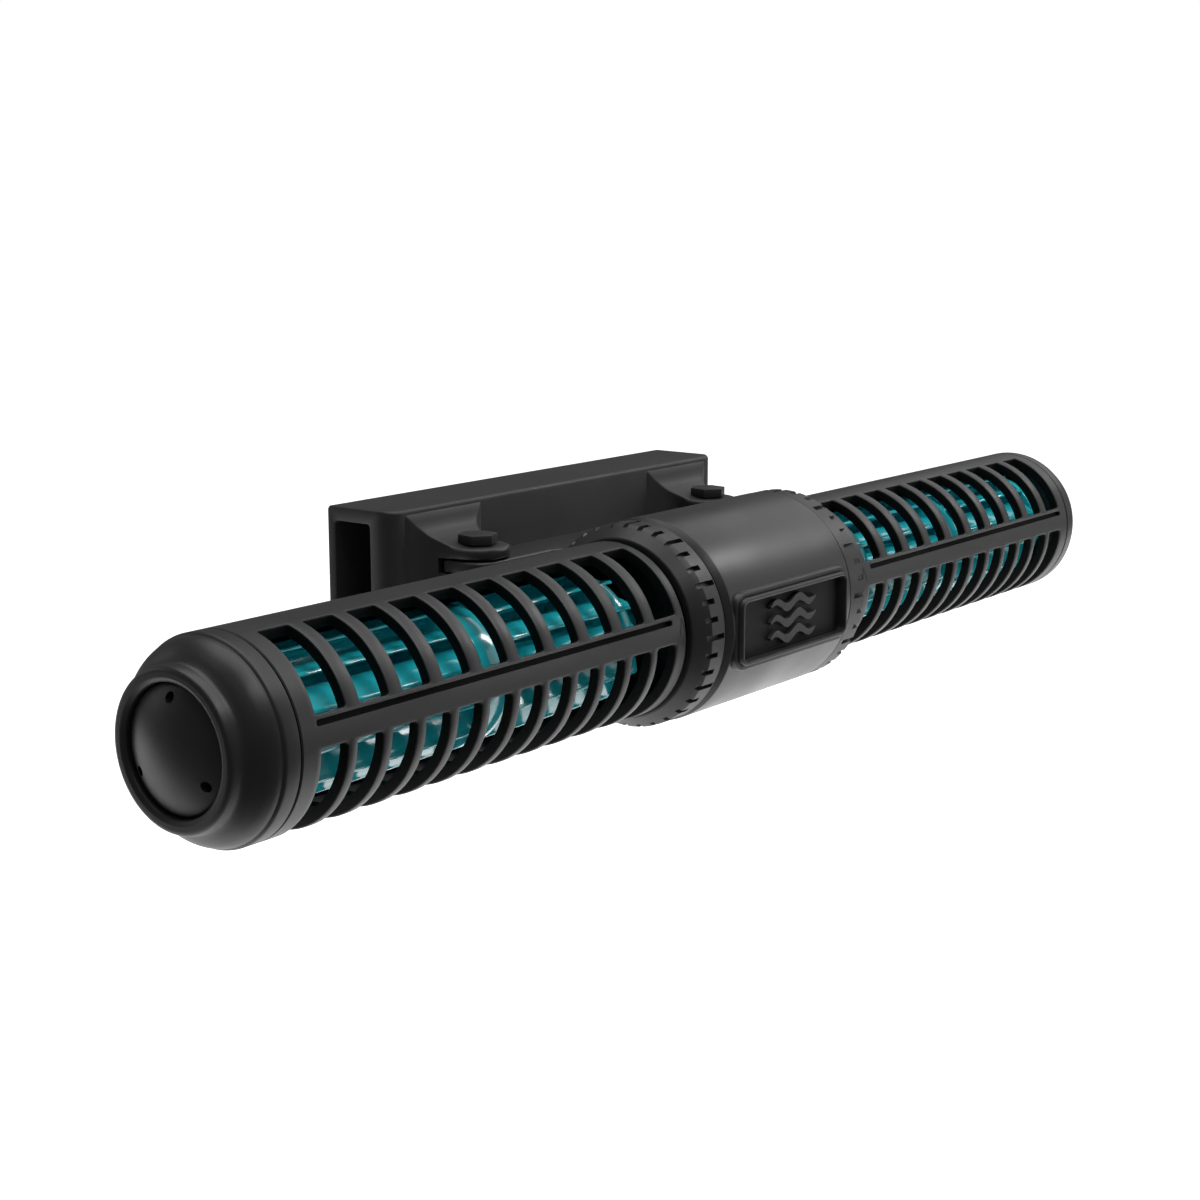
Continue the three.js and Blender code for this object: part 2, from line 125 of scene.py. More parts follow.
def moulded(name, colour, rough, grain=0.3, texture=1800, specular=0.5):
    """Moulded plastic: a fine eroded grain, with broad patches that are a little duller."""
    mat, nodes, links, shader, coord = new_material(name)
    broad = noise(nodes, links, coord, 38, 4)
    fine = noise(nodes, links, coord, texture, 2)
    links.new(tint(nodes, links, broad.outputs["Fac"], scaled(colour, 0.86), scaled(colour, 1.14)),
              shader.inputs["Base Color"])
    links.new(spread(nodes, links, broad.outputs["Fac"], rough - 0.05, rough + 0.06),
              shader.inputs["Roughness"])
    add_bump(nodes, links, shader, fine.outputs["Fac"], grain, 0.00004)
    shader.inputs["Specular IOR Level"].default_value = specular
    return mat


def metal(name, colour, rough, stretch=(1, 1, 1), texture=900, metallic=1.0):
    """Metal with fine streaks, or with an even grain where stretch is even."""
    mat, nodes, links, shader, coord = new_material(name)
    streak = noise(nodes, links, coord, texture, 3, stretch)
    broad = noise(nodes, links, coord, 90, 3)
    links.new(tint(nodes, links, broad.outputs["Fac"], scaled(colour, 0.8), scaled(colour, 1.1)),
              shader.inputs["Base Color"])
    links.new(spread(nodes, links, streak.outputs["Fac"], rough - 0.07, rough + 0.1),
              shader.inputs["Roughness"])
    add_bump(nodes, links, shader, streak.outputs["Fac"], 0.2, 0.00003)
    shader.inputs["Metallic"].default_value = metallic
    return mat


def teal_plastic():
    """Glossy teal plastic with faint flow lines along the blades."""
    mat, nodes, links, shader, coord = new_material("teal_plastic")
    flow = noise(nodes, links, coord, 160, 4, (0.15, 1, 1))
    links.new(tint(nodes, links, flow.outputs["Fac"], (0.0, 0.42, 0.5), (0.05, 0.78, 0.86)),
              shader.inputs["Base Color"])
    links.new(spread(nodes, links, flow.outputs["Fac"], 0.1, 0.17), shader.inputs["Roughness"])
    add_bump(nodes, links, shader, flow.outputs["Fac"], 0.06, 0.0002)
    shader.inputs["IOR"].default_value = 1.5
    shader.inputs["Coat Weight"].default_value = 1.0
    shader.inputs["Coat Roughness"].default_value = 0.14
    return mat


def windings():
    """Copper wire: fine turns across the coil."""
    mat, nodes, links, shader, coord = new_material("copper_wire")
    wave = nodes.new("ShaderNodeTexWave")
    wave.inputs["Scale"].default_value = 900
    wave.inputs["Distortion"].default_value = 1.5
    links.new(coord.outputs["Object"], wave.inputs["Vector"])
    links.new(tint(nodes, links, wave.outputs["Fac"], (0.3, 0.09, 0.03), (0.8, 0.34, 0.16)),
              shader.inputs["Base Color"])
    add_bump(nodes, links, shader, wave.outputs["Fac"], 0.8, 0.0002)
    shader.inputs["Metallic"].default_value = 1.0
    shader.inputs["Roughness"].default_value = 0.32
    return mat


MATERIALS = {
    "black_plastic": moulded("black_plastic", (0.025, 0.025, 0.0255), 0.44),
    # A near-black copy of the cage's black plastic with a weak sheen: painted shade for the slots'
    # walls and the cage's bore.
    "shaded_bore_plastic": moulded("shaded_bore_plastic", (0.004, 0.004, 0.0042), 0.6, specular=0.15),
    "cap_plastic": moulded("cap_plastic", (0.02, 0.02, 0.0205), 0.42),
    "bracket_plastic": moulded("bracket_plastic", (0.02, 0.02, 0.0205), 0.5),
    "housing_plastic": moulded("housing_plastic", (0.024, 0.024, 0.0245), 0.36, grain=0.15),
    "panel_plastic": moulded("panel_plastic", (0.007, 0.007, 0.0075), 0.6, specular=0.25),
    "emblem_plastic": moulded("emblem_plastic", (0.03, 0.03, 0.031), 0.45),
    "dark_mark": moulded("dark_mark", (0.004, 0.004, 0.004), 0.6),
    "teal_plastic": teal_plastic(),
    "white_plastic": moulded("white_plastic", (0.72, 0.71, 0.66), 0.3, grain=0.1),
    "rubber": moulded("rubber", (0.018, 0.018, 0.018), 0.75, grain=0.5, texture=900),
    "steel": metal("steel", (0.55, 0.56, 0.57), 0.28, (0.1, 1, 1)),
    "lamination": metal("lamination", (0.2, 0.2, 0.21), 0.42, (12, 0.3, 0.3), 120),
    "copper_wire": windings(),
    "dark_steel": metal("dark_steel", (0.03, 0.03, 0.032), 0.5),
    "magnet": metal("magnet", (0.06, 0.06, 0.065), 0.5, texture=1500, metallic=0.3),
}
for entry in frame["record"]["subparts"]:
    NODES[entry["node"]].data.materials.clear()
    # The cap screws take dark steel instead of their slot's material: painted shade that keeps the
    # holes over them dark.
    slot_or_screw_shade = "dark_steel" if "cap_screw" in entry["node"] else entry["material_slot"]
    NODES[entry["node"]].data.materials.append(MATERIALS[slot_or_screw_shade])


# ---- Shape helpers ------------------------------------------------------------------------

CREASE = 38                            # degrees from which an edge is shaded as sharp
BEVELLED_FROM = math.radians(30)       # bend from which a bevelled shape's edges are bevelled


class Shape:
    """Points and faces of one closed solid; equal points are one point."""

    def __init__(self, bevel=0.0, segments=2):
        self.points, self.faces, self.known = [], [], {}
        self.bevel, self.segments = bevel, segments

    def point(self, p):
        key = tuple(round(c, 4) + 0.0 for c in p)
        if key not in self.known:
            self.known[key] = len(self.points)
            self.points.append(p)
        return self.known[key]

    def loop(self, points):
        return [self.point(p) for p in points]

    def face(self, corners):
        kept = [v for i, v in enumerate(corners) if v != corners[i - 1]]
        if len(set(kept)) == len(kept) >= 3:
            self.faces.append(kept)

    def bridge(self, a, b, closed=True):
        for i in range(len(a) if closed else len(a) - 1):
            j = (i + 1) % len(a)
            self.face([a[i], a[j], b[j], b[i]])

    def skin(self, rings, closed=False):
        """Faces between each ring and the next, and from the last to the first if closed."""
        for a, b in zip(rings, [*rings[1:], rings[0]] if closed else rings[1:]):
            self.bridge(a, b)
        return self

    def loft(self, loops, capped=True):
        """A solid through loops of points; without caps its last loop joins its first."""
        rings = [self.loop(points) for points in loops]
        self.skin(rings, closed=not capped)
        if capped:
            self.face(rings[0])
            self.face(rings[-1])
        return self

    def zip_rows(self, a, b):
        """Triangles between two rows of points that both run along x."""
        i = j = 0
        while i < len(a) - 1 or j < len(b) - 1:
            ahead = i < len(a) - 1 and (
                j == len(b) - 1 or self.points[a[i + 1]][0] <= self.points[b[j + 1]][0])
            if ahead:
                self.face([a[i], a[i + 1], b[j]])
                i += 1
            else:
                self.face([a[i], b[j + 1], b[j]])
                j += 1


def shifted(shape, dx, dy=0.0):
    shape.points = [(x + dx, y + dy, z) for x, y, z in shape.points]
    return shape


def polar(x, phi, r):
    """A point at phi degrees from the front, upwards."""
    a = math.radians(phi)
    return x, -r * math.cos(a), r * math.sin(a)


def rounded(points, steps=4, closed=False):
    """A path of (x, y, radius) corners with each corner rounded to its radius."""
    out, count = [], len(points)
    for i, (x, y, *rest) in enumerate(points):
        radius = rest[0] if rest else 0
        if not radius or (not closed and i in (0, count - 1)):
            out.append((x, y))
            continue
        p = Vector((x, y))
        to_last = Vector(points[i - 1][:2]) - p
        to_next = Vector(points[(i + 1) % count][:2]) - p
        half = to_last.angle(to_next) / 2
        cut = min(radius / math.tan(half), to_last.length * 0.49, to_next.length * 0.49)
        u, v = to_last.normalized(), to_next.normalized()
        centre = p + (u + v).normalized() * (cut / math.cos(half))
        start, end = p + u * cut - centre, p + v * cut - centre
        sweep = start.angle_signed(end)
        for k in range(steps + 1):
            turn = -sweep * k / steps
            c, s = math.cos(turn), math.sin(turn)
            out.append((centre.x + start.x * c - start.y * s, centre.y + start.x * s + start.y * c))
    return out


def rectangle(x0, y0, x1, y1, radius, steps=5):
    return rounded([(x0, y0, radius), (x1, y0, radius), (x1, y1, radius), (x0, y1, radius)],
                   steps, closed=True)


def smooth_path(points, steps=5):
    """A Catmull-Rom curve through the points."""
    ends = [points[0], *points, points[-1]]
    out = []
    for a, b, c, d in zip(ends, ends[1:], ends[2:], ends[3:]):
        for k in range(steps):
            t = k / steps
            out.append(tuple(
                0.5 * (2 * q + (r - p) * t + (2 * p - 5 * q + 4 * r - s) * t * t
                       + (3 * q - p - 3 * r + s) * t ** 3)
                for p, q, r, s in zip(a, b, c, d)))
    return [*out, points[-1]]


def revolve(profile, place, segments, closed=False):
    """A solid of revolution; place gives the point for a profile point and an angle."""
    shape = Shape()
    turns = [math.tau * i / segments for i in range(segments)]
    return shape.skin([shape.loop([place(*p, a) for a in turns]) for p in profile], closed)


def lathe(profile, segments=96, closed=False):
    """A solid of revolution about the pump's axis from (x, radius) points."""
    return revolve(profile, lambda x, r, a: (x, r * math.cos(a), r * math.sin(a)), segments, closed)


def lathe_z(profile, segments, closed=False):
    """A solid of revolution about an upright axis from (radius, z) points."""
    return revolve(profile, lambda r, z, a: (r * math.cos(a), r * math.sin(a), z), segments, closed)


def prism(outline, low, high, axis="z", **options):
    """An outline carried straight from low to high along an axis."""
    place = {"x": lambda a, b, c: (c, a, b), "y": lambda a, b, c: (a, c, b),
             "z": lambda a, b, c: (a, b, c)}[axis]
    return Shape(**options).loft([[place(a, b, c) for a, b in outline] for c in (low, high)])


def solid(name, shape, side=1):
    """A mesh in metres of one closed solid, bevelled if its shape says so."""
    part = bmesh.new()
    verts = [part.verts.new(Vector((side * x, y, z)) * MM + AXIS) for x, y, z in shape.points]
    for corners in shape.faces:
        if not part.faces.get([verts[i] for i in corners]):
            part.faces.new([verts[i] for i in corners])
    bmesh.ops.recalc_face_normals(part, faces=part.faces)
    if shape.bevel:
        edges = [e for e in part.edges
                 if len(e.link_faces) == 2 and e.calc_face_angle(0) > BEVELLED_FROM]
        bmesh.ops.bevel(part, geom=edges, offset=shape.bevel * MM, affect="EDGES",
                        segments=shape.segments, profile=0.5, clamp_overlap=True)
    mesh = bpy.data.meshes.new(name)
    part.to_mesh(mesh)
    part.free()
    return mesh


def mark_creases(mesh, sharp):
    """Shade edges smoothly where they bend by less than sharp degrees."""
    for e in mesh.edges:
        e.smooth = len(e.link_faces) == 2 and e.calc_face_angle(0) < math.radians(sharp)


def piece(name, shapes, material, body, replaces=(), side=1, sharp=CREASE, inner=None):
    """One object from several closed solids. side -1 makes the mirror image for the left.

    inner is a second material and the radius inside which it takes over from the first.
    """
    whole = bpy.data.meshes.new(name)
    total = bmesh.new()
    for shape in shapes if isinstance(shapes, list) else [shapes]:
        part = solid("scratch", shape, side)
        total.from_mesh(part)
        bpy.data.meshes.remove(part)
    for f in total.faces:
        f.smooth = True
    mark_creases(total, sharp)
    whole.materials.append(MATERIALS[material])
    if inner:
        whole.materials.append(MATERIALS[inner[0]])
        for f in total.faces:
            middle = f.calc_center_median() - AXIS
            f.material_index = int(math.hypot(middle.y, middle.z) < inner[1] * MM)
    total.to_mesh(whole)
    total.free()
    obj = bpy.data.objects.new(name, whole)
    bpy.context.scene.collection.objects.link(obj)
    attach(obj, body)
    if replaces:
        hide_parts(*replaces)
    return obj


def cut_out(obj, shape):
    """Cut a shape out of a piece for good; its solids that overlap become one."""
    cutter = bpy.data.objects.new("cutter", solid("cutter", shape))
    bpy.context.scene.collection.objects.link(cutter)
    modifier = obj.modifiers.new("cut", "BOOLEAN")
    modifier.operation, modifier.solver, modifier.use_self = "DIFFERENCE", "EXACT", True
    modifier.object = cutter
    bpy.context.view_layer.update()
    result = bpy.data.meshes.new_from_object(
        obj.evaluated_get(bpy.context.evaluated_depsgraph_get()))
    obj.modifiers.clear()
    bpy.data.objects.remove(cutter)
    edited = bmesh.new()
    edited.from_mesh(result)
    mark_creases(edited, CREASE)
    edited.to_mesh(result)
    edited.free()
    obj.data = result


# ---- Cages --------------------------------------------------------------------------------

CAGE_R, CAGE_BORE = 21.5, 18.9
CAGE_X = (40.85, 166.8)
CAGE_EDGE = 0.25                       # chamfer at the cage's two ends
DEGREE = math.degrees(1 / CAGE_R)      # degrees in a millimetre round the cage
CORNER_STEPS, FLAT_STEPS = 6, 2
SLOT_FILLET, GROOVE_FILLET, GROOVE_DEPTH = 0.3, 0.12, 1.1
LOWER_SLOTS = {"start": 44.75, "count": 12, "pitch": 9.96, "width": 7.5, "low": -98, "high": 0,
               "corner": 0.9, "margin": 1.6, "sides": 20}
UPPER_SLOTS = {"start": 43.74, "count": 10, "pitch": 12.22, "width": 8.4, "low": 18.2,
               "high": 76.6, "corner": 0.65, "margin": 1.4, "sides": 12}
ROW_END = 1.2                          # how far a row's outer patches go past its end slots
GROOVE_X, GROOVE_PHI = (45.8, 162.4), (12.1, 15.5)
RIDGE_PHI = 16.5
BAR_STOPS = [4.5, 8.0]                 # rows of points between the lower slots and the groove
BACK_STOPS = [78 + 6 * k for k in range(1, 31)]    # and round the cage's back


class Hole:
    """A rounded slot in the cage's wall and the patch of wall round it.

    margin is how far the patch goes past the slot in degrees, and sides is the number of steps
    in each of the slot's sides that run round the cage.
    """

    def __init__(self, x, width, low, high, corner, margin, sides):
        self.x, self.w, self.corner, self.sides = x, width / 2, corner, sides
        self.middle = (low + high) / 2
        self.h = (high - low) / 2 / DEGREE
        self.low, self.high = low - margin, high + margin
        self.x0 = self.x1 = x

    def outline(self, grow):
        """Points (x, phi) of the slot's edge, moved outwards by grow."""
        w, h, r = self.w, self.h, self.corner
        flat_w, flat_h = w - r, h - r
        corners = [(flat_w, flat_h, 0, -1), (-flat_w, flat_h, 1, 0),
                   (-flat_w, -flat_h, 0, 1), (flat_w, -flat_h, -1, 0)]
        points = []
        for turn, (cx, cy, nx, ny) in enumerate(corners):
            steps = self.sides if turn % 2 == 0 else FLAT_STEPS
            length = 2 * (flat_h if turn % 2 == 0 else flat_w)
            out = math.radians(90 * turn)
            ex, ey = math.cos(out) * (r + grow), math.sin(out) * (r + grow)
            for k in range(steps):
                back = length * (1 - k / steps)
                points.append((cx + nx * back + ex, cy + ny * back + ey))
            for k in range(CORNER_STEPS):
                a = out + math.pi / 2 * k / CORNER_STEPS
                points.append((cx + math.cos(a) * (r + grow), cy + math.sin(a) * (r + grow)))
        return [(self.x + u, self.middle + v * DEGREE) for u, v in points]

    def border(self):
        """The patch's edge, one point for each point of outline()."""
        w, h, r = self.w, self.h, self.corner
        flat_w, flat_h = w - r, (h - r) * DEGREE
        right, left, top, bottom = self.x1, self.x0, self.high, self.low
        m = self.middle
        half = CORNER_STEPS // 2
        corners = [(right, m + flat_h, right, top, self.x + flat_w, top),
                   (self.x - flat_w, top, left, top, left, m + flat_h),
                   (left, m - flat_h, left, bottom, self.x - flat_w, bottom),
                   (self.x + flat_w, bottom, right, bottom, right, m - flat_h)]
        points = []
        for turn, (ax, ay, bx, by, cx, cy) in enumerate(corners):
            px, py = corners[turn - 1][4:]
            steps = self.sides if turn % 2 == 0 else FLAT_STEPS
            for k in range(steps):
                t = k / steps
                points.append((px + (ax - px) * t, py + (ay - py) * t))
            for k in range(CORNER_STEPS):
                t = k / half
                if k <= half:
                    points.append((ax + (bx - ax) * t, ay + (by - ay) * t))
                else:
                    points.append((bx + (cx - bx) * (t - 1), by + (cy - by) * (t - 1)))
        return points

    def carve(self, shape, fillet, depth=None):
        """The faces of the slot and its patch; with depth the slot has a floor."""
        ring = lambda points, r: shape.loop([polar(x, phi, r) for x, phi in points])
        lap = fillet * (1 - math.sqrt(0.5))
        levels = [ring(self.border(), CAGE_R), ring(self.outline(fillet), CAGE_R),
                  ring(self.outline(lap), CAGE_R - lap), ring(self.outline(0), CAGE_R - fillet)]
        if depth:
            levels += [ring(self.outline(0), CAGE_R - depth)]
            shape.face(levels[-1])
        else:
            inner = fillet / 2
            levels += [ring(self.outline(0), CAGE_BORE + inner),
                       ring(self.outline(inner), CAGE_BORE), ring(self.border(), CAGE_BORE)]
        shape.skin(levels)


def slot_row(start, count, pitch, width, low, high, corner, margin, sides):
    """Slots side by side, whose patches meet in the middle of each rib."""
    holes = [Hole(start + width / 2 + pitch * i, width, low, high, corner, margin, sides)
             for i in range(count)]
    for a, b in zip(holes, holes[1:]):
        a.x1 = b.x0 = (a.x + b.x) / 2
    holes[0].x0 = holes[0].x - holes[0].w - ROW_END
    holes[-1].x1 = holes[-1].x + holes[-1].w + ROW_END
    return holes


def cage_wall():
    """The cage's tube as one closed solid: patches with slots, and plain wall between them."""
    shape = Shape()
    first, last = CAGE_X[0] + CAGE_EDGE, CAGE_X[1] - CAGE_EDGE
    lower, upper = slot_row(**LOWER_SLOTS), slot_row(**UPPER_SLOTS)
    groove = Hole(sum(GROOVE_X) / 2, GROOVE_X[1] - GROOVE_X[0], *GROOVE_PHI, 0.6, 0.6, 1)
    groove.x0, groove.x1 = GROOVE_X[0] - 0.6, GROOVE_X[1] + 0.6
    band = {}                                     # phi: the x of its points
    ends = set()                                  # phi of the points at the cage's two ends

    for holes, fillet, depth in ((lower, SLOT_FILLET, None), (upper, SLOT_FILLET, None),
                                 ([groove], GROOVE_FILLET, GROOVE_DEPTH)):
        for hole in holes:
            hole.carve(shape, fillet, depth)
            for x, phi in hole.border():
                if abs(phi - hole.low) < 1e-6 or abs(phi - hole.high) < 1e-6:
                    band.setdefault(round(phi, 5), set()).add(round(x, 5))
        for x_end, x_edge in ((first, holes[0].x0), (holes[-1].x1, last)):
            column = sorted({round(phi, 5) for x, phi in holes[0].border()
                             if abs(x - holes[0].x0) < 1e-6})
            ends.update(column)
            for r in (CAGE_R, CAGE_BORE):
                if r == CAGE_BORE and depth:
                    continue
                a = shape.loop([polar(x_end, phi, r) for phi in column])
                b = shape.loop([polar(x_edge, phi, r) for phi in column])
                shape.bridge(a, b, closed=False)

    def row(phi, r, like=None):
        xs = band.get(round(like if like is not None else phi, 5))
        return shape.loop([polar(x, phi, r) for x in sorted({first, last} | xs)])

    def plain(low, high, r, stops):
        """Unbroken wall between two rows."""
        here = row(low, r)
        for phi in stops:
            step = row(phi, r, like=low)
            shape.bridge(here, step, closed=False)
            here = step
        shape.zip_rows(here, row(high, r))

    lower_low, lower_high = lower[0].low, lower[0].high
    upper_low, upper_high = upper[0].low, upper[0].high
    band[round(lower_low + 360, 5)] = band[round(lower_low, 5)]
    groove_stops = sorted({round(p, 5) for _, p in groove.border()})
    ends.update(BACK_STOPS + BAR_STOPS)
    for r in (CAGE_R, CAGE_BORE):
        plain(upper_high, lower_low + 360, r, BACK_STOPS)
        if r == CAGE_R:
            plain(lower_high, groove.low, r, BAR_STOPS)
            plain(groove.high, upper_low, r, [])
        else:
            plain(lower_high, upper_low, r, [*BAR_STOPS, *groove_stops])
    around = sorted(p for p in ends if p < lower_low + 359.99)
    for tip, edge in ((CAGE_X[0], first), (CAGE_X[1], last)):
        shape.skin([shape.loop([polar(x, phi, r) for phi in around]) for x, r in (
            (edge, CAGE_R), (tip, CAGE_R - CAGE_EDGE), (tip, CAGE_BORE + CAGE_EDGE),
            (edge, CAGE_BORE))])
    return shape


def cage_ridge():
    """A thin raised line above the groove, drawn in at both ends."""
    section = [(-0.26, -0.3), (-0.24, 0.1), (-0.1, 0.22), (0.1, 0.22), (0.24, 0.1), (0.26, -0.3)]
    stations = [(46.2, 0.2), (47, 1), *((47 + i, 1) for i in range(10, 115, 10)), (161.2, 1),
                (162, 0.2)]
    return Shape().loft([
        [polar(x, RIDGE_PHI + v * k * DEGREE, CAGE_R + h * k) for v, h in section]
        for x, k in stations])


def cage():
    """The cage's wall, its ridge, and the spigot that turns in the collar."""
    spigot = rounded([(33, 17.2, 0.4), (38, 17.2, 0.5), (41.2, 18.6), (41.2, 19.2), (36.8, 19.5),
                      (36.8, 18.4), (35.2, 18.4), (35.2, 19.5), (33, 19.5, 0.4)], 3, closed=True)
    return [cage_wall(), cage_ridge(), lathe(spigot, closed=True)]


def index_arrow():
    """A small generic arrow by the collar, in two strokes."""
    strokes = []
    for (x0, p0), (x1, p1) in (((42.0, 15.0), (43.25, 4.6)), ((42.0, 15.0), (41.15, 5.6))):
        strokes.append(Shape().loft([
            [polar(x0 + (x1 - x0) * t + dx, p0 + (p1 - p0) * t, r)
             for dx, r in ((-0.17, 21.3), (0.17, 21.3), (0.17, 21.525), (-0.17, 21.525))]
            for t in (0, 0.25, 0.5, 0.75, 1)]))
    return strokes


# ---- End caps -----------------------------------------------------------------------------

def end_cap():
    """The cap: a rim, a shoulder, the ring round the domed plate, and a bearing's seat inside."""
    shoulder = smooth_path([
        (171.45, 20.95), (172.6, 20.75), (174.2, 19.95), (175.7, 18.7), (176.9, 17.45),
        (177.7, 16.85), (178.8, 16.65), (179.9, 16.35), (180.38, 15.75), (180.45, 14.9),
        (180.4, 14.2), (179.9, 13.5)])
    return lathe([
        (173, 0), (173, 5.3), (166.2, 5.3), (166.2, 7.5), (174.2, 7.5), (174.2, 16.9),
        (163.4, 16.9), (163.4, 18.6), (167.1, 18.6), (167.1, 21.25), (167.35, 21.5),
        (170.6, 21.5), (171.0, 21.42), (171.22, 21.2), *shoulder, (179.2, 13.3), (177, 13.3),
        (177, 0)], 128)


DOME_EDGE, DOME_RISE, DOME_BASE, DOME_WALL = 13.0, 3.5, 177.3, 1.55
DOME_LIP, DOME_DROP = 0.15, 0.1                    # the chamfers at its edge
HOLES, HOLE_CIRCLE, HOLE_R = 3, 10.6, 1.1
PATCH_REACH, PATCH_SPAN = 1.9, math.radians(24)    # half the height and the angle of its patch
MOUTH_STEPS = 32                                   # points round a hole


def cap_plate():
    """The domed plate; each of its three holes sits in a patch of its own."""
    sphere = (DOME_EDGE ** 2 + DOME_RISE ** 2) / (2 * DOME_RISE)
    top = lambda r: DOME_BASE + DOME_WALL + DOME_RISE - sphere + math.sqrt(sphere ** 2 - r * r)
    flat = lambda r: DOME_BASE
    place = lambda r, a, level: (level(r), r * math.cos(a), r * math.sin(a))
    shape = Shape()
    inner_r, outer_r = HOLE_CIRCLE - PATCH_REACH, HOLE_CIRCLE + PATCH_REACH
    centres = [math.pi / 2 + math.tau * i / HOLES for i in range(HOLES)]

    def clear(a):
        """Whether an angle is outside all the patches."""
        return all(abs((a - c + math.pi) % math.tau - math.pi) > PATCH_SPAN / 2 + 1e-6
                   for c in centres)

    around = {round(a, 6) for a in (math.tau * i / 96 for i in range(96)) if clear(a)}
    for c in centres:
        mouth, border = [], []
        for k in range(MOUTH_STEPS):
            turn = math.tau * k / MOUTH_STEPS
            u, v = math.cos(turn), math.sin(turn)
            stretch = 1 / max(abs(u), abs(v))
            y, z = HOLE_CIRCLE + u * HOLE_R, v * HOLE_R
            mouth.append((math.hypot(y, z), c + math.atan2(z, y)))
            border.append((HOLE_CIRCLE + u * stretch * PATCH_REACH,
                           c + v * stretch * PATCH_SPAN / 2))
            if abs(abs(u * stretch) - 1) < 1e-9:
                around.add(round(border[-1][1] % math.tau, 6))
        shape.skin([shape.loop([place(r, a, level) for r, a in points]) for points, level in (
            (border, top), (mouth, top), (mouth, flat), (border, flat))])
    around = sorted(around)
    corner = MOUTH_STEPS // 8
    rows = [0.0, 3.0, 6.0, *(HOLE_CIRCLE + PATCH_REACH * math.tan(math.tau * k / MOUTH_STEPS)
                             for k in range(-corner, corner + 1)), DOME_EDGE - DOME_LIP]
    for level in (top, flat):
        rings = [shape.loop([place(r, a, level) for a in around]) for r in rows]
        for low, high, r in zip(rings, rings[1:], rows):
            patched = inner_r - 1e-6 < r < outer_r - 1e-6
            for i, a in enumerate(around):
                j = (i + 1) % len(around)
                if not patched or clear(a + ((around[j] - a) % math.tau) / 2):
                    shape.face([low[i], low[j], high[j], high[i]])
    return shape.skin([
        shape.loop([(x, r * math.cos(a), r * math.sin(a)) for a in around]) for r, x in (
            (DOME_EDGE - DOME_LIP, top(DOME_EDGE - DOME_LIP)),
            (DOME_EDGE, top(DOME_EDGE) - DOME_DROP), (DOME_EDGE, DOME_BASE + DOME_DROP),
            (DOME_EDGE - DOME_LIP, DOME_BASE))])


# ---- Impellers ----------------------------------------------------------------------------

TIP_R, ROOT_R, BLADES = 15.7, 11.0, 12
SWEEP = 25.0                                       # degrees from a blade's root to its tip
BLADE_ROWS = ((50.4, 101.5), (104.5, 160))         # the second row is half a pitch round
DISCS = ((53, 55.5, 15.3), (99.5, 106.7, 15.76), (157, 159.4, 15.3))
HUBS = ((36, 57, 5), (155.5, 161, 5))
SHAFT_BORE = 2.3


def blade_section(turn):
    """One blade's outline: curved, thin, and rounded at the tip."""
    upper, lower = [], []
    for k in range(9):
        t = k / 8
        r = ROOT_R + (TIP_R - 0.35 - ROOT_R) * t
        bend = SWEEP * t ** 1.25
        half = math.degrees((0.75 - 0.15 * t) / r)
        upper.append((r, turn - bend + half))
        lower.append((r, turn - bend - half))
    tip = turn - SWEEP
    return [*upper, (TIP_R - 0.1, tip + 1.4), (TIP_R, tip), (TIP_R - 0.12, tip - 1.6), *lower[::-1]]


def impeller():
    """Two rows of blades between discs, on a hub at each end."""
    shapes = []
    for row, (start, end) in enumerate(BLADE_ROWS):
        stations = [(start, 0.9), (start + 0.25, 1), (end - 0.25, 1), (end, 1)]
        for i in range(BLADES):
            section = blade_section((i + row / 2) * 360 / BLADES)
            middle = (sum(r for r, _ in section) / len(section),
                      sum(a for _, a in section) / len(section))
            shapes.append(Shape().loft([[
                polar(x, middle[1] + (a - middle[1]) * k, middle[0] + (r - middle[0]) * k)
                for r, a in section] for x, k in stations]))
    for rings, corner, segments in ((DISCS, 0.2, 96), (HUBS, 0.5, 48)):
        for low, high, r in rings:
            shapes.append(lathe(rounded([
                (low, SHAFT_BORE), (low, r, corner), (high, r, corner), (high, SHAFT_BORE)], 3),
                segments, closed=True))
    return shapes


# ---- Index collars ------------------------------------------------------------------------

COLLAR_R, HOUSING_R = 25.05, 25.35
MARKS = 36
MARK_HALF = 0.6                                    # half a mark's width
MARK_EDGE = 0.15                                   # degrees taken up by each of its sides
LONG_MARK, SHORT_MARK = 30.1, 32.3                 # the x at which a mark ends


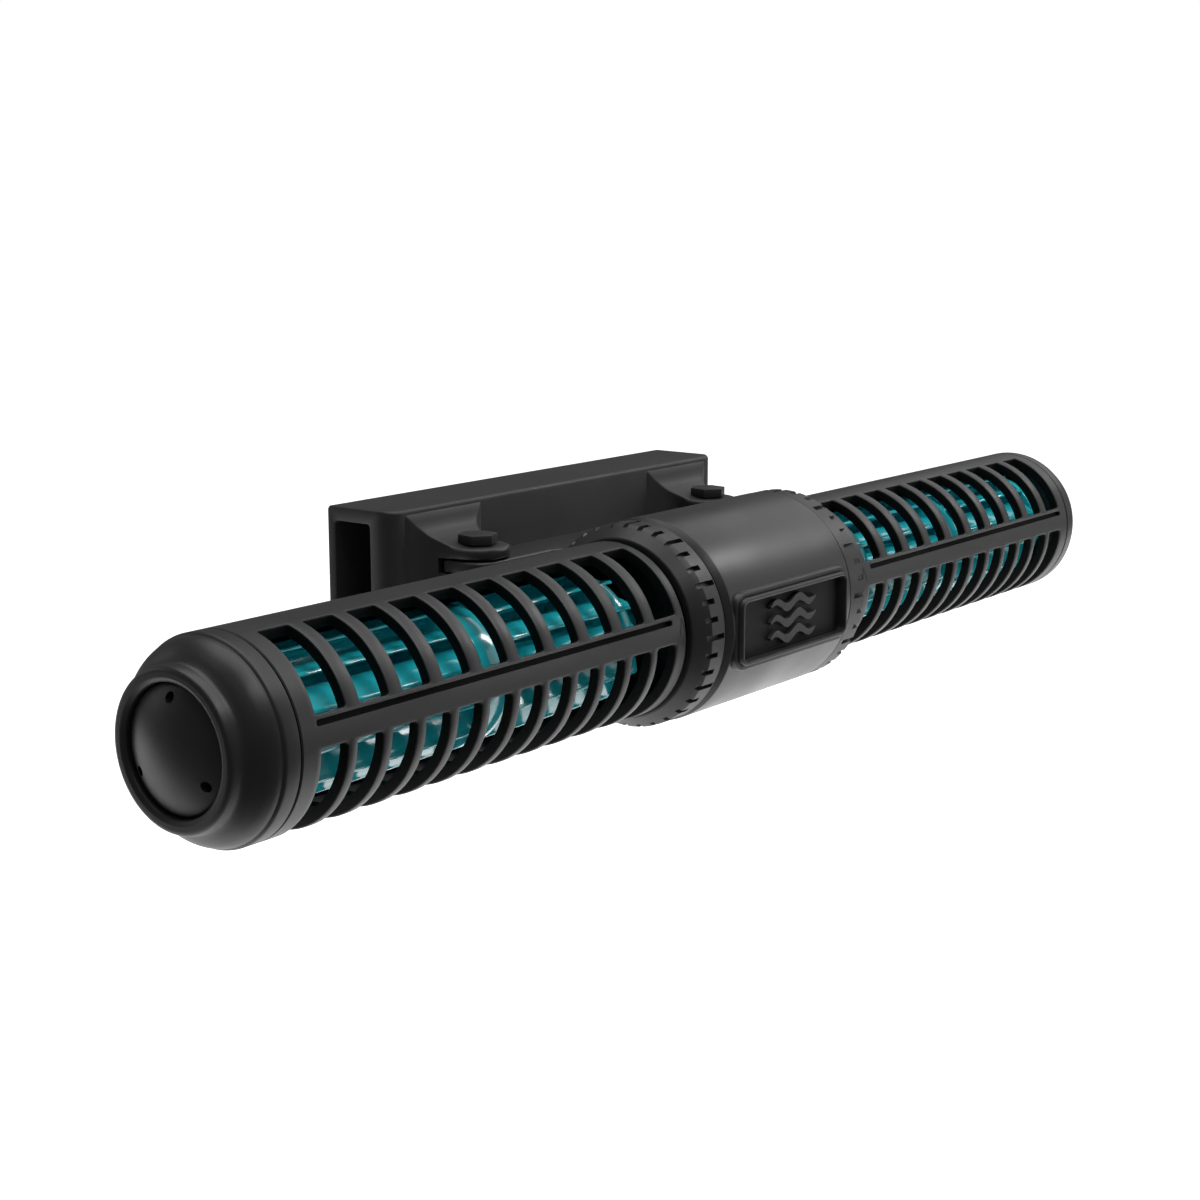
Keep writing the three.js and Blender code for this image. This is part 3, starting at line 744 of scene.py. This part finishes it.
def index_collar(groove):
    """A ring with 36 marks let into its band, each open towards the cone; every third is longer.

    With groove a gap parts it from the housing; without, it carries on the housing's surface.
    """
    if groove:
        band_r = COLLAR_R
        rear = [(29.85, band_r), (29.65, band_r - 0.2), (29.55, 22.9), (29.2, 22.8), (28.3, 23.6)]
    else:
        band_r = HOUSING_R - 0.05
        rear = [(28.4, band_r), (28.2, band_r - 0.12)]

    def profile(end, cut):
        band = [(36.22, 24.21), (35.3, 24.97), (35.1, band_r), (end + 0.06, band_r)]
        mark = [(36.22, 24.21), (35.3, 24.12), (35.1, 24.11), (end + 0.06, 23.75)]
        return [(28.3, 5.3), (31, 5.3), (31, 20.1), (38.6, 20.1), (38.9, 20.4), (38.9, 21.8),
                (38.72, 22.14), *(mark if cut else band), (end, band_r), *rear]

    shape = Shape()
    half = math.degrees(MARK_HALF / COLLAR_R)
    columns = []
    for i in range(MARKS):
        phi, end = i * 360 / MARKS, SHORT_MARK if i % 3 else LONG_MARK
        columns += [(phi - half - MARK_EDGE, end, False), (phi - half, end, True),
                    (phi + half, end, True), (phi + half + MARK_EDGE, end, False),
                    (phi + 3.9, end, False), (phi + 6.2, end, False)]
    return shape.skin([shape.loop([polar(x, phi, r) for x, r in profile(end, cut)])
                       for phi, end, cut in columns], closed=True)


# ---- Motor housing ------------------------------------------------------------------------

BADGE_W, BADGE_H, BADGE_Z = 49.2, 16.8, -0.5
WING_LOW, WING_HIGH = 12.2, 15.3
GLAND_TILT = math.radians(-35)


def badge_levels(levels):
    """Loops of the badge's outline at (grow, corner radius, y)."""
    loops = []
    for grow, corner, y in levels:
        w, h = BADGE_W / 2 + grow, BADGE_H / 2 + grow
        outline = rectangle(-w, BADGE_Z - h, w, BADGE_Z + h, corner, 6)
        loops.append([(x, y, z) for x, z in outline])
    return loops


def wing_outline():
    """The plate behind the housing: a neck, and a wing with a round end on each side."""
    neck, front, back, half = 27.5, 27, 39, 58
    r = (back - front) / 2 - 0.01
    right = rounded([(neck, 16), (neck, front, 3.5), (half, front, r), (half, back, r)], 10)
    return [*right, *[(-x, y) for x, y in reversed(right)]]


def motor_housing():
    """The tube, the badge's boss, the wing plate with its web, and the cable gland's seat."""
    end, edge = 28.0, 26.5
    tube = rounded([(-end, 21), (end, 21), (end, HOUSING_R, 0.15), (-edge, HOUSING_R, 0.5),
                    (-end, 24.0, 0.2)], 4, closed=True)
    boss = Shape().loft(badge_levels([
        (1.25, 3.9, -22.0), (1.2, 3.8, -25.2), (1.05, 3.65, -25.44), (0.8, 3.4, -25.5)]))
    wing = prism(wing_outline(), WING_LOW, WING_HIGH, bevel=0.7, segments=4)
    web = prism([(18.5, 12.9), (37, 12.9), (36.2, 11.4), (25.2, 2.2), (22.5, 2)], -24, 24, "x",
                bevel=0.6, segments=3)
    return [lathe(tube, 160, closed=True), boss, wing, web, cable_seat()]


def badge_pocket():
    """What is cut out of the housing for the badge."""
    return Shape().loft(badge_levels([(0.12, 2.72, -23.15), (0.12, 2.72, -30)]))


def tilted(profile):
    """A solid of revolution about the cable gland's axis from (distance, radius) points."""
    out = Vector((0, math.cos(GLAND_TILT), math.sin(GLAND_TILT)))
    up = Vector((0, -math.sin(GLAND_TILT), math.cos(GLAND_TILT)))
    across = Vector((1, 0, 0))
    return revolve(profile, lambda d, r, a: tuple(
        out * d + (across * math.cos(a) + up * math.sin(a)) * r), 64)


def cable_seat():
    """A short socket on the housing for the cable gland."""
    return tilted(rounded([(22.5, 0), (22.5, 7.6), (25.4, 7.6, 0.5), (25.4, 6.5), (24.6, 6.4),
                           (24.6, 0)], 4))


def cable_gland():
    """A strain relief with moulded rings."""
    rings = []
    for i in range(4):
        d, r = 28.1 + 1.45 * i, 4.5 - 0.22 * i
        rings += [(d, r), (d + 0.75, r - 0.05), (d + 0.85, r - 0.7), (d + 1.35, r - 0.75)]
    return tilted([(24.7, 0), (24.7, 5.6), (25.6, 6.15), (27.0, 6.2), (27.4, 5.9), (27.8, 4.4),
                   *rings, (33.7, 3.5), (34, 3.2), (34, 1.95), (31, 1.9), (31, 0)])


def badge_bezel():
    """The badge's rim, with a floor under the panel."""
    return Shape().loft(badge_levels([
        (-1.6, 1.6, -23.4), (-0.1, 2.5, -23.4), (0, 2.6, -23.8), (-0.12, 2.5, -26.3),
        (-0.3, 2.35, -26.62), (-0.5, 2.2, -26.7), (-0.85, 1.9, -26.7), (-1.03, 1.72, -26.58),
        (-1.1, 1.65, -26.3), (-1.12, 1.62, -24.0), (-1.6, 1.3, -24.0)]))


def badge_panel():
    return Shape().loft(badge_levels([(-1.2, 1.5, -23.9), (-1.2, 1.5, -24.3), (-1.3, 1.4, -24.4)]))


def badge_waves():
    """Three raised waves that narrow at both ends."""
    length, spacing, steps = 20.8, 4, 32
    foot, edge, face = -24.3, -25.5, -25.6
    shapes = []
    for row in (-1, 0, 1):
        loops = []
        for k in range(steps + 1):
            t = k / steps
            x = length * (t - 0.5)
            z = BADGE_Z + spacing * row + math.sin(t * math.tau * 2)
            half = 1.1 * math.sin(math.pi * min(max(t, 0.01), 0.99)) ** 0.4
            loops.append([(x, foot, z - half), (x, edge, z - half), (x, face, z - half + 0.1),
                          (x, face, z + half - 0.1), (x, edge, z + half), (x, foot, z + half)])
        shapes.append(Shape().loft(loops))
    return shapes


# ---- Bracket ------------------------------------------------------------------------------

BOX_HALF, BOX_FRONT, BOX_BACK, BOX_LOW, BOX_HIGH = 69.4, 45.5, 66.6, -18.4, 27.6
CHANNEL_FRONT, CHANNEL_BACK, CHANNEL_LOW, CHANNEL_HIGH = 52.5, 64, -14.8, 24
BOLT_X, BOLT_Y, LUG_R = 50.0, 34.5, 8.0
UPPER_LUG, LOWER_LUG = 15.6, 11.9                  # the lugs' faces towards the wing plate
HEX_ACROSS = 8.7


def round_over(distance, radius):
    """How far a face with a rounded end has drawn in, at a distance from that end."""
    if distance >= radius:
        return 0.0
    return radius - math.sqrt(radius ** 2 - (radius - distance) ** 2)


def bracket_box():
    """The box round the magnet's channel, which is open at both ends."""
    front_r, edge_r = 4.6, 0.6
    outside, inside = [], []
    near = sorted({front_r * (1 - math.cos(math.pi / 2 * k / 10)) for k in range(11)}
                  | {edge_r * (1 - math.cos(math.pi / 2 * k / 5)) for k in range(6)})
    stations = [(-BOX_HALF + d, d) for d in near] + [(BOX_HALF - d, d) for d in reversed(near)]
    for x, d in stations:
        small = round_over(d, edge_r)
        front = round_over(d, front_r)
        outside.append([(x, y, z) for y, z in rectangle(
            BOX_FRONT + front, BOX_LOW + small, BOX_BACK - small, BOX_HIGH - small, 1.0, 6)])
    mouth = [(-BOX_HALF, 0.5), (-BOX_HALF + 0.15, 0.15), (-BOX_HALF + 0.5, 0),
             (BOX_HALF - 0.5, 0), (BOX_HALF - 0.15, 0.15), (BOX_HALF, 0.5)]
    for x, grow in reversed(mouth):
        inside.append([(x, y, z) for y, z in rectangle(
            CHANNEL_FRONT - grow, CHANNEL_LOW - grow, CHANNEL_BACK + grow, CHANNEL_HIGH + grow,
            0.9 + grow, 6)])
    return Shape().loft([*outside, *inside], capped=False)


def follow(path, y):
    """The second coordinate of a path at y."""
    for (y0, z0), (y1, z1) in zip(path, path[1:]):
        if y1 <= y <= y0 and y0 > y1:
            return z0 + (z1 - z0) * (y0 - y) / (y0 - y1)
    return path[-1][1]


# Half the arm's width and the height of its top, against y.
ARM_HALF = smooth_path([(48, 14.3), (45.5, 14.2), (44.4, 11.9), (43.2, 9.9), (41, 8.6),
                        (39, 8.1), (36, 8), (34.5, 8)])
ARM_TOP = smooth_path([(48, 26.5), (45.5, 26.3), (44.4, 23.8), (43.2, 21.9), (41, 20.4),
                       (38.6, 19.5), (36, 18.8), (33.4, 18.5), (26.5, 18.5)])


def arm_section(y, low, high, inset=0.0):
    """The arm's outline across y, between two heights."""
    if y > BOLT_Y:
        w = follow(ARM_HALF, y)
    else:
        w = math.sqrt(max(0.0, LUG_R ** 2 - (BOLT_Y - y) ** 2))
    corner = min(1.1 if y < 37 else 0.5, (high - low - 2 * inset) / 2.2, w * 0.9)
    return [(x, y, z) for x, z in rectangle(-w, low + inset, w, high - inset, corner, 5)]


def arm():
    """A flared root on the box's front wall, and a round lug above and below the wing plate."""
    under = lambda y: LOWER_LUG - 0.98 * (follow(ARM_TOP, y) - UPPER_LUG)
    root = [arm_section(y, under(y), follow(ARM_TOP, y)) for y in
            (48, 45.5, 45.1, 44.7, 44.3, 43.8, 43.3, 42.7, 42, 41.4, 40.8, 40.2)]
    tip = BOLT_Y - LUG_R
    stops = [41, 40.2, *range(39, 28, -1), 28.2, 27.6, 27.2, 26.9, 26.7, 26.56]
    inset = lambda y: 0.9 * (1 - min(1.0, max(0.0, (y - tip) / 1.2))) ** 2
    upper = [arm_section(y, UPPER_LUG, follow(ARM_TOP, y), inset(y)) for y in stops]
    lower = [arm_section(y, under(y), LOWER_LUG, inset(y)) for y in stops]
    return [Shape().loft(loops) for loops in (root, upper, lower)]


def mount_bracket():
    return [bracket_box(), *(shifted(part, side * BOLT_X) for side in (-1, 1) for part in arm())]


def hexagon(turn):
    r = HEX_ACROSS / 2 / math.cos(math.pi / 6)
    return [(r * math.cos(turn + math.pi / 3 * i), r * math.sin(turn + math.pi / 3 * i))
            for i in range(6)]


def hex_bolt():
    """A head, a shank, and a few threads at its lower end."""
    head = Shape(bevel=0.14).loft([
        [(x, y, z) for x, y in hexagon(math.radians(22.6))] for z in (18.8, 21.2)])
    shank = lathe_z(rounded([(0, 3.2), (2.0, 3.2), (2.4, 3.8), (2.4, 18.9), (0, 18.9)], 2), 40)
    threads = [lathe_z([(2.2, z), (2.55, z + 0.25), (2.2, z + 0.5)], 40, closed=True) for z in
               (3.9 + 0.6 * i for i in range(3))]
    return [head, shank, *threads]


def hex_nut():
    """A hexagon with a round hole, both drawn with the same number of points."""
    low, high, bore, side_steps, turn = 5.2, 8.7, 2.72, 10, math.radians(20)
    count = 6 * side_steps
    angles = [math.tau * i / count for i in range(count)]
    hole = [(bore * math.cos(a), bore * math.sin(a)) for a in angles]
    corners = hexagon(turn)
    sides = [(ax + (bx - ax) * k / side_steps, ay + (by - ay) * k / side_steps)
             for (ax, ay), (bx, by) in zip(corners, [*corners[1:], corners[0]])
             for k in range(side_steps)]
    shift = round(turn / (math.tau / count))       # brings the two outlines' starts together
    sides = sides[-shift:] + sides[:-shift]
    return Shape().loft([[(x, y, z) for x, y in outline] for outline, z in (
        (hole, low), (sides, low), (sides, high), (hole, high))], capped=False)


# ---- Placing the pieces -------------------------------------------------------------------

housing = piece("housing_shell", motor_housing(), "housing_plastic", "pump", ["motor_housing"])
cut_out(housing, badge_pocket())
piece("badge_rim", badge_bezel(), "black_plastic", "pump", ["badge_bezel"])
piece("badge_plate", badge_panel(), "panel_plastic", "pump", ["badge_emblem"])
piece("badge_waves", badge_waves(), "emblem_plastic", "pump")
piece("bracket_body", mount_bracket(), "bracket_plastic", "pump", ["mount_bracket"])
piece("strain_relief", cable_gland(), "rubber", "pump", ["cable_gland"])

for side, sign in (("left", -1), ("right", 1)):
    cage_body = side + "_cage_body"
    # Faces inside the slot fillet take the near-black copy of the plastic: painted shade on the
    # slots' walls and the cage's bore.
    piece(side + "_cage_shell", cage(), "black_plastic", cage_body, [side + "_cage"], side=sign,
          inner=("shaded_bore_plastic", CAGE_R - SLOT_FILLET - 0.05))
    piece(side + "_cage_arrow", index_arrow(), "dark_mark", cage_body,
          side=sign)
    piece(side + "_cap_shell", end_cap(), "cap_plastic", cage_body, [side + "_end_cap"],
          side=sign)
    piece(side + "_cap_dome", cap_plate(), "cap_plastic", cage_body, [side + "_cap_plate"],
          side=sign)
    piece(side + "_rotor_blades", impeller(), "teal_plastic", "rotor", [side + "_impeller"],
          side=sign)
    piece(side + "_collar_ring", index_collar(side == "left"), "black_plastic", "pump",
          [side + "_index_collar"], side=sign, sharp=18)
    for what, shapes in (("bolt", hex_bolt()), ("nut", [hex_nut()])):
        for shape in shapes:
            shifted(shape, sign * BOLT_X, BOLT_Y)
        piece(f"{side}_hex_{what}", shapes, "bracket_plastic", "pump", [f"{side}_{what}"])


# ---- Floor, light and camera --------------------------------------------------------------

def floor():
    """A pale round floor well below the pump, lit evenly by itself."""
    reach, steps = 1.45, 64
    centre = Vector((0.8, 0.95, -0.24))
    mesh = bpy.data.meshes.new("floor")
    rim = [centre + Vector((reach * math.cos(a), reach * math.sin(a), 0))
           for a in (math.tau * i / steps for i in range(steps))]
    mesh.from_pydata([tuple(p) for p in rim], [], [tuple(range(steps))])
    mat, nodes, links, shader, coord = new_material("floor")
    soft = noise(nodes, links, coord, 3, 2)
    links.new(tint(nodes, links, soft.outputs["Fac"], (0.8, 0.8, 0.8), (0.82, 0.82, 0.82)),
              shader.inputs["Base Color"])
    shader.inputs["Roughness"].default_value = 0.9
    shader.inputs["Emission Color"].default_value = (1, 1, 1, 1)
    shader.inputs["Emission Strength"].default_value = 1.0
    mesh.materials.append(mat)
    obj = bpy.data.objects.new("floor", mesh)
    bpy.context.scene.collection.objects.link(obj)


def area_light(name, place, target, size, glow):
    """A soft box; glow is its brightness as seen, where 1 is white."""
    data = bpy.data.lights.new(name, "AREA")
    data.shape, data.size, data.size_y = "RECTANGLE", size[0], size[1]
    data.energy = glow * math.pi * size[0] * size[1]
    obj = bpy.data.objects.new(name, data)
    obj.location = place
    obj.rotation_mode = "QUATERNION"
    obj.rotation_quaternion = (Vector(target) - Vector(place)).to_track_quat("-Z", "Y")
    bpy.context.scene.collection.objects.link(obj)


def world():
    """A dim studio for the light, white where the camera sees past the floor."""
    scene_world = bpy.data.worlds.new("studio")
    scene_world.use_nodes = True
    nodes, links = scene_world.node_tree.nodes, scene_world.node_tree.links
    seen = nodes.new("ShaderNodeBackground")
    seen.inputs["Color"].default_value = (1, 1, 1, 1)
    light = nodes["Background"]
    light.inputs["Color"].default_value = (0.11, 0.11, 0.11, 1)
    path, mix = nodes.new("ShaderNodeLightPath"), nodes.new("ShaderNodeMixShader")
    links.new(path.outputs["Is Camera Ray"], mix.inputs["Fac"])
    links.new(light.outputs["Background"], mix.inputs[1])
    links.new(seen.outputs["Background"], mix.inputs[2])
    links.new(mix.outputs["Shader"], nodes["World Output"].inputs["Surface"])
    bpy.context.scene.world = scene_world


def camera():
    """At the photograph's viewpoint, which is given in millimetres from the pump's middle."""
    data = bpy.data.cameras.new("camera")
    data.lens, data.sensor_width = 63.214, 36
    data.clip_start, data.clip_end = 0.01, 50
    obj = bpy.data.objects.new("camera", data)
    obj.location = Vector((-438.1, -296.7, 105.5)) * MM + AXIS
    obj.rotation_mode = "QUATERNION"
    obj.rotation_quaternion = Vector((0.78223, 0.59189, -0.19438)).to_track_quat("-Z", "Y")
    bpy.context.scene.collection.objects.link(obj)
    bpy.context.scene.camera = obj


FRONT = (0, -0.07, 0)                  # what most of the lights are turned towards
floor()
world()
area_light("top", (0.1, 0.0, 1.3), (0, -0.05, 0), (1.5, 1.2), 1.9)
area_light("strip", (0.0, -0.75, 1.0), FRONT, (1.3, 0.12), 9)
area_light("right", (2.2, 0.1, 1.25), FRONT, (1.7, 1.1), 1.0)
area_light("glint", (1.35, -0.6, 0.95), FRONT, (0.22, 0.45), 11)
area_light("glint_low", (1.3, -1.25, 0.05), FRONT, (0.12, 0.3), 9)
area_light("back", (-0.8, 1.9, 0.7), (0, 0, 0), (1.6, 1.0), 0.5)
area_light("side", (2.0, -1.4, 0.6), FRONT, (1.6, 1.3), 0.55)
camera()
bpy.context.scene.view_settings.view_transform = "Standard"
